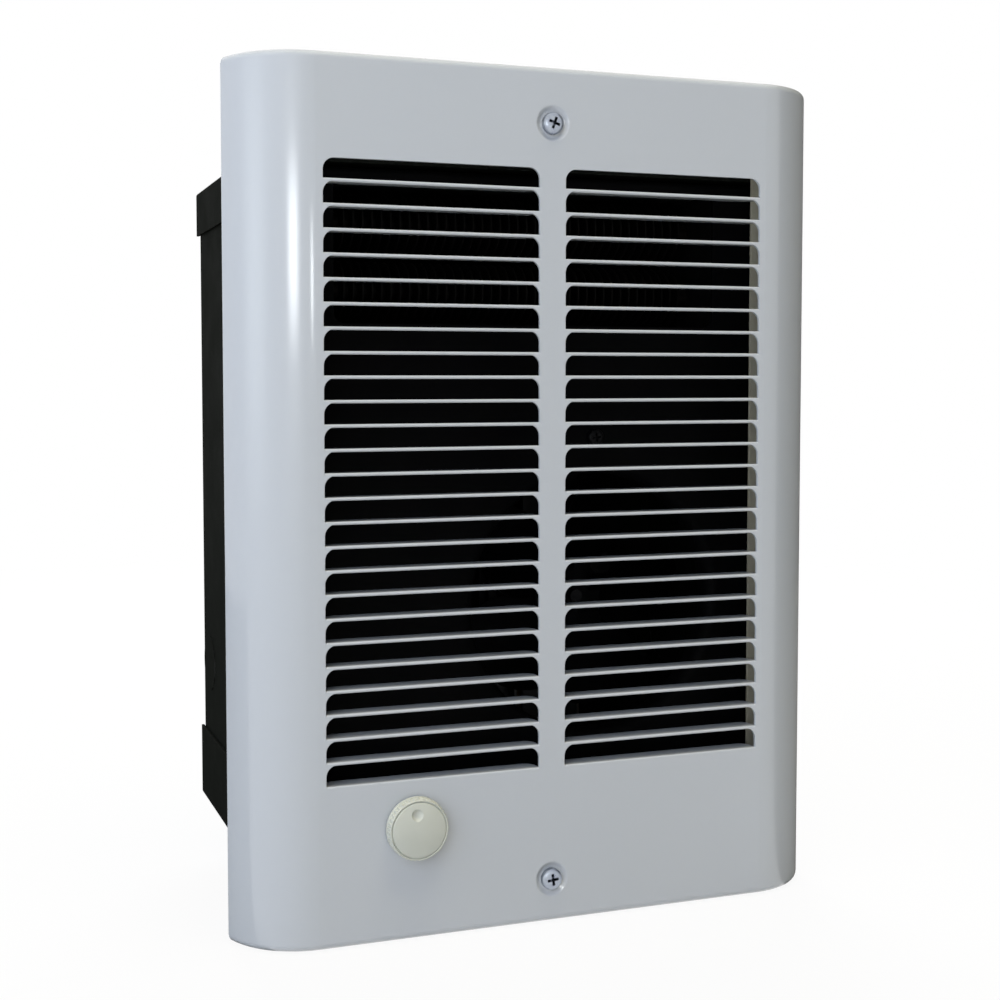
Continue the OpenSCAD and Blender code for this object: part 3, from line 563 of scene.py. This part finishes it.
def rib(angle):
    """Height of the ribs at an angle."""
    pitch = 2 * math.pi / KNOB_RIBS
    off = abs((angle / pitch + 0.5) % 1 - 0.5) * pitch * RIBS_AT
    return math.sqrt(max(0.0, RIB_R**2 - off * off))


def dome_height(x, y):
    """Height of the domed face, with the pointer's dimple sunk into it and its lip rounded."""
    ball = (DOME_R**2 + DOME_H**2) / (2 * DOME_H)
    dome = KNOB_H - ball + math.sqrt(ball**2 - x * x - y * y)
    off = math.hypot(x - POINTER[0], y - POINTER[1])
    if off >= POINTER_R:
        return dome
    dimple = KNOB_H + POINTER_UP - math.sqrt(POINTER_R**2 - off * off)
    return -POINTER_LIP * math.log(
        math.exp(-dome / POINTER_LIP) + math.exp(-dimple / POINTER_LIP)
    )


def make_knob():
    x0, y0, z0 = KNOB_AT
    shape = Shape(lambda x, y, z: (x0 + x, y0 - z, z0 + y))
    turns = [2 * math.pi * k / KNOB_SIDES for k in range(KNOB_SIDES)]
    rings = [
        shape.ring([
            ((r + ribs * rib(a)) * math.cos(a), (r + ribs * rib(a)) * math.sin(a), z)
            for a in turns
        ])
        for r, z, ribs in KNOB_ROWS
    ]
    for r in DOME_RINGS:
        flat = [(r * math.cos(a), r * math.sin(a)) for a in turns]
        rings.append(shape.ring([(x, y, dome_height(x, y)) for x, y in flat]))
    shape.closed(rings)
    shape.made("knob", "knob_plastic", "control", "thermostat_knob", sharp=40)


# ---- Screws ----

# The cross recess's reach and half width, as shares of the head's radius
CROSS_LENGTH, CROSS_HALF = 0.56, 0.13

# Where the rings of the head's crown lie, from 1 at its rim to 0 at the recess
CROWN = (1.0, 0.985, 0.96, 0.92, 0.86, 0.78, 0.68, 0.55, 0.4, 0.25, 0.12, 0.04, 0.0)

# Down into the recess: shares of its reach, its half width and the head's height
RECESS = ((0.97, 0.93, 0.05), (0.94, 0.9, 0.14), (0.8, 0.84, 0.5),
          (0.6, 0.78, 0.72), (0.42, 0.7, 0.86), (0.1, 0.1, 0.98))

# The thread's root, as a share of its radius, and how far the shank reaches into the head
THREAD_ROOT = 0.76
SHANK_IN = 0.4
SHANK_SIDES = 28
RINGS_PER_TURN = 7

# How far the first screw of a node is turned, and each one more than the last
FIRST_TURN, NEXT_TURN = 0.35, 1.1


def cross_edge(angle, length, half_width):
    """Distance from a cross recess's centre to its edge."""
    off = abs((angle + math.pi / 4) % (math.pi / 2) - math.pi / 4)
    return min(length / math.cos(off), half_width / max(math.sin(off), 1e-6))


def cross_angles(length, half_width):
    """Angles round a cross that fall on its corners."""
    corner = math.asin(half_width / length)
    quarter = [0, corner * 0.5, corner * 0.9, corner, corner * 1.1]
    quarter += [corner + (math.pi / 4 - corner) * t for t in (0.25, 0.5, 0.75, 0.9, 1.0)]
    half = quarter + [math.pi / 2 - a for a in reversed(quarter[1:-1])]
    return [k * math.pi / 2 + a for k in range(4) for a in half]


def screw_head(shape, r, h):
    """Pan head with its seat at local z = 0 and a tapered cross recess."""
    length, half = CROSS_LENGTH * r, CROSS_HALF * r
    angles = cross_angles(length, half)

    def crown(at):
        return -h * (0.45 + 0.55 * math.sqrt(max(0.0, 1 - (at / r) ** 4)))

    def loop(radius, height):
        flat = [(radius(a) * math.cos(a), radius(a) * math.sin(a)) for a in angles]
        return shape.ring([(x, y, height(math.hypot(x, y))) for x, y in flat])

    rings = [
        loop(lambda a: 0.3 * r, lambda d: 0.0),
        loop(lambda a: 0.97 * r, lambda d: 0.0),
        loop(lambda a: r, lambda d: -0.04 * h),
        loop(lambda a: r, lambda d: -0.36 * h),
    ]
    for share in CROWN:
        rings.append(loop(
            lambda a: share * r + (1 - share) * cross_edge(a, length, half), crown
        ))
    for size, wide, deep in RECESS:
        rings.append(loop(
            lambda a: cross_edge(a, size * length, wide * half), lambda d: h * (deep - 1)
        ))
    shape.closed(rings)


def screw_shank(shape, r, length, pitch, plain):
    """Shank with a thread beyond its plain part and a tapered tip."""
    root = THREAD_ROOT * r
    count = int((length + SHANK_IN) / (pitch / RINGS_PER_TURN))
    rings = []
    for i in range(count + 1):
        z = -SHANK_IN + (length + SHANK_IN) * i / count
        tip = smooth_step((length - z) / r)
        cut = smooth_step((z - plain) / pitch)
        points = []
        for k in range(SHANK_SIDES):
            a = 2 * math.pi * k / SHANK_SIDES
            phase = abs(2 * ((z / pitch - k / SHANK_SIDES) % 1) - 1)
            crest = root + (r - root) * max(0.0, 1 - 1.5 * phase)
            at = (r + (crest - r) * cut) * (0.4 + 0.6 * tip)
            points.append((at * math.cos(a), at * math.sin(a), z))
        rings.append(shape.ring(points))
    shape.closed(rings)


def make_screws(name, slot, places, head_r, head_h, shank_r, length, pitch, plain=0.0):
    """One node's screws."""
    shape = Shape()
    for k, place in enumerate(places):
        turn = FIRST_TURN + NEXT_TURN * k
        c, s = math.cos(turn), math.sin(turn)
        shape.place = lambda x, y, z: place(c * x - s * y, s * x + c * y, z)
        screw_head(shape, head_r, head_h)
        screw_shank(shape, shank_r, length, pitch, plain)
    shape.made(name, slot, "heater", name, sharp=28)


# The fan's axis and the left side of the element duct
FAN_X, FAN_Z = 28, -36.75
DUCT_LEFT = -74.8

# Node, slot, where the heads sit, then the head's radius and height, the shank's radius and
# length, the thread's pitch and, where there is one, the length of the plain part
SCREWS = [
    ("cover_screws", "zinc", [facing_y(0, -19.6, z) for z in (137.5, -133)],
     3.9, 2.4, 1.95, 26.5, 1.4),
    ("deck_screws", "phosphate", [facing_y(x, 3, z) for x in (-96.7, 96.7) for z in (-95, 95)],
     3.2, 1.9, 1.75, 9, 1.3),
    ("cradle_screws", "phosphate", [facing_y(FAN_X, 3, FAN_Z + dz) for dz in (-62.5, 62.5)],
     3.2, 1.9, 1.75, 7, 1.3),
    ("motor_screws", "phosphate", [facing_y(FAN_X + dx, 44, FAN_Z) for dx in (-20.5, 20.5)],
     3.6, 2.4, 2.0, 45, 0.8, 28),
    ("limit_screws", "zinc", [facing_x(DUCT_LEFT - 1, 13, 93 + dz) for dz in (-11.5, 11.5)],
     2.4, 1.5, 1.35, 4, 0.9),
    ("ground_screw", "green_paint", [facing_down(-80, 60, -123.75)],
     4, 2.4, 1.95, 2, 0.9),
]


# ---- Leads ----

KNOB_X, KNOB_Z = KNOB_AT[0], KNOB_AT[2]
LEAD_R = 1.25
LEAD_SIDES = 16
ROUTE_STEPS = 10

# The barrel that is crimped round a lead's end
BARREL_R = 1.85
BARREL_L = 4.4
BARREL_FADE = 0.8

# Node, slot, route, and what is crimped to the start and to the end: the kind of terminal, the
# way out of it and the way its width runs
LEADS = [
    ("supply_lead_a", "lead_black", [
        (KNOB_X - 6.5, 36.5, KNOB_Z), (KNOB_X - 6.5, 42, KNOB_Z), (-62, 52, -104),
        (-72, 62, -96), (-86, 68, -88), (-92, 73, -78), (-92, 77, -66), (-92, 78, -54),
    ], ("tab", (0, 1, 0), (0, 0, 1)), None),
    ("supply_lead_b", "lead_red", [
        (-90.7, 27, 80.5), (-94, 27.5, 79.5), (-97, 33, 70), (-97.5, 44, 52),
        (-97.5, 56, 24), (-97.5, 66, -8), (-97, 72, -30), (-96, 76, -46),
    ], ("post", (-1, 0, 0), (0, 0, 1)), None),
    ("thermostat_lead", "lead_black", [
        (KNOB_X + 6.5, 36.5, KNOB_Z), (KNOB_X + 6.5, 42, KNOB_Z + 1), (-54, 44, -92),
        (-74, 32, -66), (-90, 20, -38), (-95, 14, 0), (-95, 13, 40), (-95, 13, 68),
        (-96.5, 13, 80), (-95, 13, 87), (-89.9, 13, 88),
    ], ("tab", (0, 1, 0), (0, 0, 1)), ("blade", (-1, 0, 0), (0, 1, 0))),
    ("element_lead", "lead_black", [
        (-90.1, 13, 98), (-92, 13.2, 98), (-96, 18, 101), (-96.8, 23, 104),
        (-94.5, 26.5, 105.5), (-90.7, 27, 105.5),
    ], ("blade", (-1, 0, 0), (0, 1, 0)), ("post", (-1, 0, 0), (0, 0, 1))),
    ("motor_lead_a", "lead_black", [
        (20, 58, -90.3), (19, 57, -95), (6, 52, -98), (-14, 44, -88), (-38, 34, -62),
        (-64, 26, -24), (-82, 24, 20), (-87, 26, 58), (-88.3, 27, 72), (-88.3, 27, 78.8),
    ], None, None),
    ("motor_lead_b", "lead_black", [
        (36, 58, -90.3), (36, 57, -96), (30, 50, -106), (10, 42, -114), (-14, 40, -116),
        (-31, 44, -112), (KNOB_X + 15.5, 42, KNOB_Z), (KNOB_X + 15.5, 36.5, KNOB_Z),
    ], None, ("tab", (0, 1, 0), (0, 0, 1))),
]

# How far each terminal's sleeve reaches back over it, and its half width and half thickness
SLEEVES = {"tab": (7.2, 3.9, 1.5), "blade": (5.4, 3.1, 1.4), "post": (4.4, 2.3, 2.3)}


def smooth_route(route):
    """The curve through a route's points that the CAD's leads follow."""
    points = [Vector(p) for p in route]
    curve = []
    for i in range(len(points) - 1):
        a, b, c = points[max(i - 1, 0)], points[i], points[i + 1]
        d = points[min(i + 2, len(points) - 1)]
        for k in range(ROUTE_STEPS):
            t = k / ROUTE_STEPS
            curve.append(0.5 * (
                2 * b + (c - a) * t + (2 * a - 5 * b + 4 * c - d) * t * t
                + (3 * b - a - 3 * c + d) * t**3
            ))
    return curve + [points[-1]]


def tube(shape, curve, radius_at, sides):
    """Round tube along a curve; radius_at gets the distances from the start and to the end."""
    far = [0.0]
    for a, b in zip(curve, curve[1:]):
        far.append(far[-1] + (b - a).length)
    across = Vector((0.3, 0.8, 0.5))
    rings = []
    for i, at in enumerate(curve):
        ahead = (curve[min(i + 1, len(curve) - 1)] - curve[max(i - 1, 0)]).normalized()
        across = (across - across.dot(ahead) * ahead).normalized()
        side = ahead.cross(across)
        r = radius_at(far[i], far[-1] - far[i])
        rings.append(shape.ring([
            tuple(at + r * (math.cos(a) * across + math.sin(a) * side))
            for a in (2 * math.pi * k / sides for k in range(sides))
        ]))
    shape.closed(rings)


def sleeve(shape, end, kind, out, wide):
    """Moulded sleeve over a terminal, drawn down to the lead's barrel.

    grow is 1 where the sleeve has its full, boxy section and 0 where it is round."""
    back, half_w, half_t = SLEEVES[kind]
    out, wide = Vector(out), Vector(wide)
    thin = out.cross(wide)
    sides, boxy = 32, 0.45
    rings = []
    for far, grow in ((-back, 0.86), (-back + 0.25, 0.97), (-back + 0.7, 1.0), (-0.6, 1.0),
                      (0.2, 0.96), (0.9, 0.75), (1.5, 0.3), (2.0, 0.0)):
        points = []
        for k in range(sides):
            a = 2 * math.pi * k / sides
            c, s = math.cos(a), math.sin(a)
            box = (half_w * math.copysign(abs(c) ** boxy, c),
                   half_t * math.copysign(abs(s) ** boxy, s))
            u, v = (grow * b + (1 - grow) * BARREL_R * r for b, r in zip(box, (c, s)))
            points.append(tuple(Vector(end) + far * out + u * wide + v * thin))
        rings.append(shape.ring(points))
    shape.closed(rings)


def make_leads():
    for node, slot, route, start, end in LEADS:
        shape = Shape()

        def radius_at(from_start, to_end):
            grow = 0.0
            for far, crimp in ((from_start, start), (to_end, end)):
                if crimp:
                    grow = max(grow, 1 - smooth_step((far - BARREL_L) / BARREL_FADE))
            return LEAD_R + (BARREL_R - LEAD_R) * grow

        tube(shape, smooth_route(route), radius_at, LEAD_SIDES)
        for at, crimp in ((route[0], start), (route[-1], end)):
            if crimp:
                sleeve(shape, at, *crimp)
        shape.made(node, slot, "heater", node, sharp=50)


# ---- Winding ----

COIL_X = (14.7, 41.3)
COIL_Y = (47.6, 80.4)
COIL_Z = (-90.15, -64.35)
COIL_CORNER = 4
WIRE_PITCH = 0.62
WIRE_SIDES = 8

# How far the body under the wires and its bore lie inside the coil's faces
COIL_BODY, COIL_BORE = 0.45, 5.4


def coil_loop(inset):
    """Rounded rectangle round the yoke, in Y and Z, inset from the coil's faces."""
    lo_y, hi_y = COIL_Y[0] + inset, COIL_Y[1] - inset
    lo_z, hi_z = COIL_Z[0] + inset, COIL_Z[1] - inset
    r = max(COIL_CORNER - inset, 0.2)
    loop = []
    for k, (y, z) in enumerate(((hi_y - r, hi_z - r), (lo_y + r, hi_z - r),
                                (lo_y + r, lo_z + r), (hi_y - r, lo_z + r))):
        for step in range(7):
            a = math.pi / 2 * (k + step / 6)
            loop.append((y + r * math.cos(a), z + r * math.sin(a)))
    return loop


def make_winding():
    """The wound coil: its outer layer as one helix over a closed body."""
    shape = Shape()
    outer, inner = (
        [shape.ring([(x, y, z) for y, z in coil_loop(inset)]) for x in COIL_X]
        for inset in (COIL_BODY, COIL_BORE)
    )
    shape.skin([inner[0], outer[0], outer[1], inner[1], inner[0]])
    loop = coil_loop(WIRE_PITCH / 2)
    turns = int((COIL_X[1] - COIL_X[0]) / WIRE_PITCH)
    count = turns * len(loop)
    wire = []
    for i in range(count):
        y, z = loop[i % len(loop)]
        x = COIL_X[0] + WIRE_PITCH / 2 + (COIL_X[1] - COIL_X[0] - WIRE_PITCH) * i / count
        wire.append(Vector((x, y, z)))
    tube(shape, wire, lambda from_start, to_end: WIRE_PITCH / 2, WIRE_SIDES)
    shape.made("coil_winding", "winding_tape", "heater", "coil_winding", sharp=60)


# ---- Hem ----

# The front edge of the box's top panel, folded back on itself at both sides of the screw's ear
HEM_FRONT, HEM_BACK = 0.3, 7.0
HEM_LOW, HEM_HIGH = 124.53, 125.6
HEM_ENDS = (16.5, 98.0)


def make_hem():
    middle, half = (HEM_LOW + HEM_HIGH) / 2, (HEM_HIGH - HEM_LOW) / 2
    edge = [(HEM_FRONT + half - half * math.cos(a), middle + half * math.sin(a))
            for a in (math.radians(15 * k - 90) for k in range(13))]
    section = [(HEM_BACK, HEM_LOW), *edge, (HEM_BACK, HEM_HIGH)]
    shape = Shape()
    for side in (-1, 1):
        shape.closed([shape.ring([(side * x, y, z) for y, z in section]) for x in HEM_ENDS])
    shape.made("box_top_hem", "box_paint", "heater", sharp=40)


make_knob()
for screws in SCREWS:
    make_screws(*screws)
make_leads()
make_winding()
make_hem()


# ---- Stage ----

FLOOR_Z = cad_box[0].z - 0.0004
FLOOR_R = 8.0
FLOOR_SIDES = 96
FLOOR_COLOR, FLOOR_ROUGH = (0.60, 0.60, 0.60, 1), 0.9

# The floor's share of plain white near the object and far from it, and how near and far that is
FLOOR_WHITE = (0.93, 1.0)
FLOOR_FADE = (0.25, 1.1)

WHITE = (1, 1, 1, 1)


def seen(tree):
    """1 for the rays that show the background: camera, glossy and transmission rays."""
    path = tree.nodes.new("ShaderNodeLightPath")
    out = path.outputs["Is Camera Ray"]
    for name in ("Is Glossy Ray", "Is Transmission Ray"):
        most = tree.nodes.new("ShaderNodeMath")
        most.operation = "MAXIMUM"
        tree.links.new(out, most.inputs[0])
        tree.links.new(path.outputs[name], most.inputs[1])
        out = most.outputs[0]
    return out


def mixed(tree, fac, off, on, end):
    """Leads one shader to the end node where fac is 0, and another where it is 1."""
    mix = tree.nodes.new("ShaderNodeMixShader")
    for out, socket in zip((fac, off, on), mix.inputs):
        tree.links.new(out, socket)
    tree.links.new(mix.outputs[0], tree.nodes[end].inputs["Surface"])


def stage_material(name, color, rough):
    """A plain material of one colour."""
    material = bpy.data.materials.new(name)
    material.use_nodes = True
    shader = material.node_tree.nodes["Principled BSDF"]
    shader.inputs["Base Color"].default_value = color
    shader.inputs["Roughness"].default_value = rough
    return material


def white_share(tree, share):
    """Shows plain white, by that share, to the rays that show the background."""
    white = tree.nodes.new("ShaderNodeEmission")
    white.inputs["Color"].default_value = WHITE
    white.inputs["Strength"].default_value = 1.0
    part = tree.nodes.new("ShaderNodeMath")
    part.operation = "MULTIPLY"
    tree.links.new(seen(tree), part.inputs[0])
    tree.links.new(share, part.inputs[1])
    lit = tree.nodes["Principled BSDF"]
    mixed(tree, part.outputs[0], lit.outputs["BSDF"], white.outputs[0], "Material Output")


def make_floor():
    """Pale floor that turns to plain white away from the object, so that no horizon shows."""
    mesh = bpy.data.meshes.new("floor")
    build = bmesh.new()
    bmesh.ops.create_circle(build, cap_ends=True, radius=FLOOR_R, segments=FLOOR_SIDES)
    build.to_mesh(mesh)
    build.free()
    floor = bpy.data.objects.new("floor", mesh)
    floor.location.z = FLOOR_Z
    bpy.context.scene.collection.objects.link(floor)
    material = stage_material("floor", FLOOR_COLOR, FLOOR_ROUGH)
    tree = material.node_tree
    place = tree.nodes.new("ShaderNodeTexCoord")
    far = tree.nodes.new("ShaderNodeVectorMath")
    far.operation = "LENGTH"
    tree.links.new(place.outputs["Object"], far.inputs[0])
    share = tree.nodes.new("ShaderNodeMapRange")
    share.inputs["From Min"].default_value, share.inputs["From Max"].default_value = FLOOR_FADE
    share.inputs["To Min"].default_value, share.inputs["To Max"].default_value = FLOOR_WHITE
    tree.links.new(far.outputs["Value"], share.inputs["Value"])
    white_share(tree, share.outputs["Result"])
    mesh.materials.append(material)


# Two dark cards, one at the right and one on the floor, whose front edge runs from left to right
FLAG_COLOR, FLAG_ROUGH = (0.10, 0.10, 0.10, 1), 1.0
FLAG_X = 0.9
FLAG_BACK, FLAG_FRONT = 1.3, -0.57
FLAG_LOW, FLAG_HIGH = FLOOR_Z + 0.0002, 1.1
FLAG_EDGE = [(-FLAG_X, -0.08), (-0.1, -0.015), (0.1, -0.015), (FLAG_X, FLAG_FRONT)]
FLAGS = {
    "flag_side": [
        (FLAG_X, FLAG_FRONT, FLAG_LOW), (FLAG_X, FLAG_BACK, FLAG_LOW),
        (FLAG_X, FLAG_BACK, FLAG_HIGH), (FLAG_X, FLAG_FRONT, FLAG_HIGH),
    ],
    "flag_floor": [
        (x, y, FLAG_LOW) for x, y in (*FLAG_EDGE, (FLAG_X, FLAG_BACK), (-FLAG_X, FLAG_BACK))
    ],
}


def make_flags():
    """The dark cards, seen only in reflections."""
    material = stage_material("flags", FLAG_COLOR, FLAG_ROUGH)
    for name, points in FLAGS.items():
        mesh = bpy.data.meshes.new(name)
        mesh.from_pydata(points, [], [tuple(range(len(points)))])
        mesh.materials.append(material)
        flag = bpy.data.objects.new(name, mesh)
        bpy.context.scene.collection.objects.link(flag)
        flag.visible_camera = flag.visible_diffuse = flag.visible_shadow = False
        flag.visible_transmission = False


SKY_COLOR, SKY_STRENGTH = (0.95, 0.98, 1.0, 1), 0.12


def make_world():
    """Soft light from all around, and a plain white background."""
    world = bpy.data.worlds.new("studio")
    world.use_nodes = True
    bpy.context.scene.world = world
    tree = world.node_tree
    soft, white = tree.nodes["Background"], tree.nodes.new("ShaderNodeBackground")
    for background, color, strength in ((soft, SKY_COLOR, SKY_STRENGTH), (white, WHITE, 1.0)):
        background.inputs["Color"].default_value = color
        background.inputs["Strength"].default_value = strength
    mixed(tree, seen(tree), soft.outputs[0], white.outputs[0], "World Output")


# Name, azimuth and height in degrees, distance, size, watts and colour. Azimuth 0 is straight in
# front of the object and -90 at its left. These lamps light it and don't show in reflections
LIGHTING = [
    ("key", -52, 24, 1.3, (1.6, 1.2), 17.6, (0.77, 0.845, 1.0)),
    ("top", 28, 58, 1.8, (0.35, 0.3), 1, (1.0, 0.87, 0.48)),
    ("overhead", 5, 78, 1.5, (0.9, 0.6), 16.5, (1.0, 0.92, 0.72)),
    ("back", 165, 32, 1.6, (1.4, 1.0), 40, (0.98, 0.99, 1.0)),
]

# These show only in reflections: the sheen of the left roll, its bright streak, and the thin
# line where it meets the face
REFLECTED = [
    ("lobe", -69, 8, 1.6, (1.3, 0.9), 4.5, (0.88, 0.97, 1.0)),
    ("streak", -20.3, 10.4, 1.035, (0.38, 0.26), 3.9, (0.94, 0.98, 1.0)),
    ("line", 1.0, 9, 1.018, (0.045, 0.18), 0.42, (0.96, 0.99, 1.0)),
]

# How far a reflected lamp fades in from its edges, as a share of its size
LAMP_FADE = 0.45


def fade_edges(data):
    """Lets an area lamp fall off towards its edges, so that its reflection is soft too."""
    data.use_nodes = True
    tree = data.node_tree
    apart = tree.nodes.new("ShaderNodeSeparateXYZ")
    across = tree.nodes.new("ShaderNodeNewGeometry").outputs["Parametric"]
    tree.links.new(across, apart.inputs[0])
    both = tree.nodes.new("ShaderNodeMath")
    both.operation = "MULTIPLY"
    for axis in range(2):
        bell = tree.nodes.new("ShaderNodeMath")
        bell.operation = "PINGPONG"
        bell.inputs[1].default_value = 0.5
        tree.links.new(apart.outputs[axis], bell.inputs[0])
        soft = tree.nodes.new("ShaderNodeMapRange")
        soft.interpolation_type = "SMOOTHSTEP"
        soft.inputs["From Min"].default_value = 0.0
        soft.inputs["From Max"].default_value = LAMP_FADE
        tree.links.new(bell.outputs[0], soft.inputs["Value"])
        tree.links.new(soft.outputs["Result"], both.inputs[axis])
    tree.links.new(both.outputs[0], tree.nodes["Emission"].inputs["Strength"])


def make_lamp(name, azimuth, height, distance, size, watts, color):
    """Area lamp that faces the origin, just behind the middle of the cover."""
    data = bpy.data.lights.new(name, "AREA")
    data.shape = "RECTANGLE"
    data.size, data.size_y = size
    data.energy = watts
    data.color = color
    lamp = bpy.data.objects.new(name, data)
    bpy.context.scene.collection.objects.link(lamp)
    a, e = math.radians(azimuth), math.radians(height)
    out = Vector((math.sin(a) * math.cos(e), -math.cos(a) * math.cos(e), math.sin(e)))
    lamp.location = out * distance
    lamp.rotation_mode = "QUATERNION"
    lamp.rotation_quaternion = out.to_track_quat("Z", "Y")
    lamp.visible_camera = False
    return lamp


make_floor()
make_flags()
make_world()
for row in LIGHTING:
    make_lamp(*row).visible_glossy = False
for row in REFLECTED:
    lamp = make_lamp(*row)
    lamp.visible_diffuse = False
    fade_edges(lamp.data)
bpy.context.scene.view_settings.view_transform = "Standard"
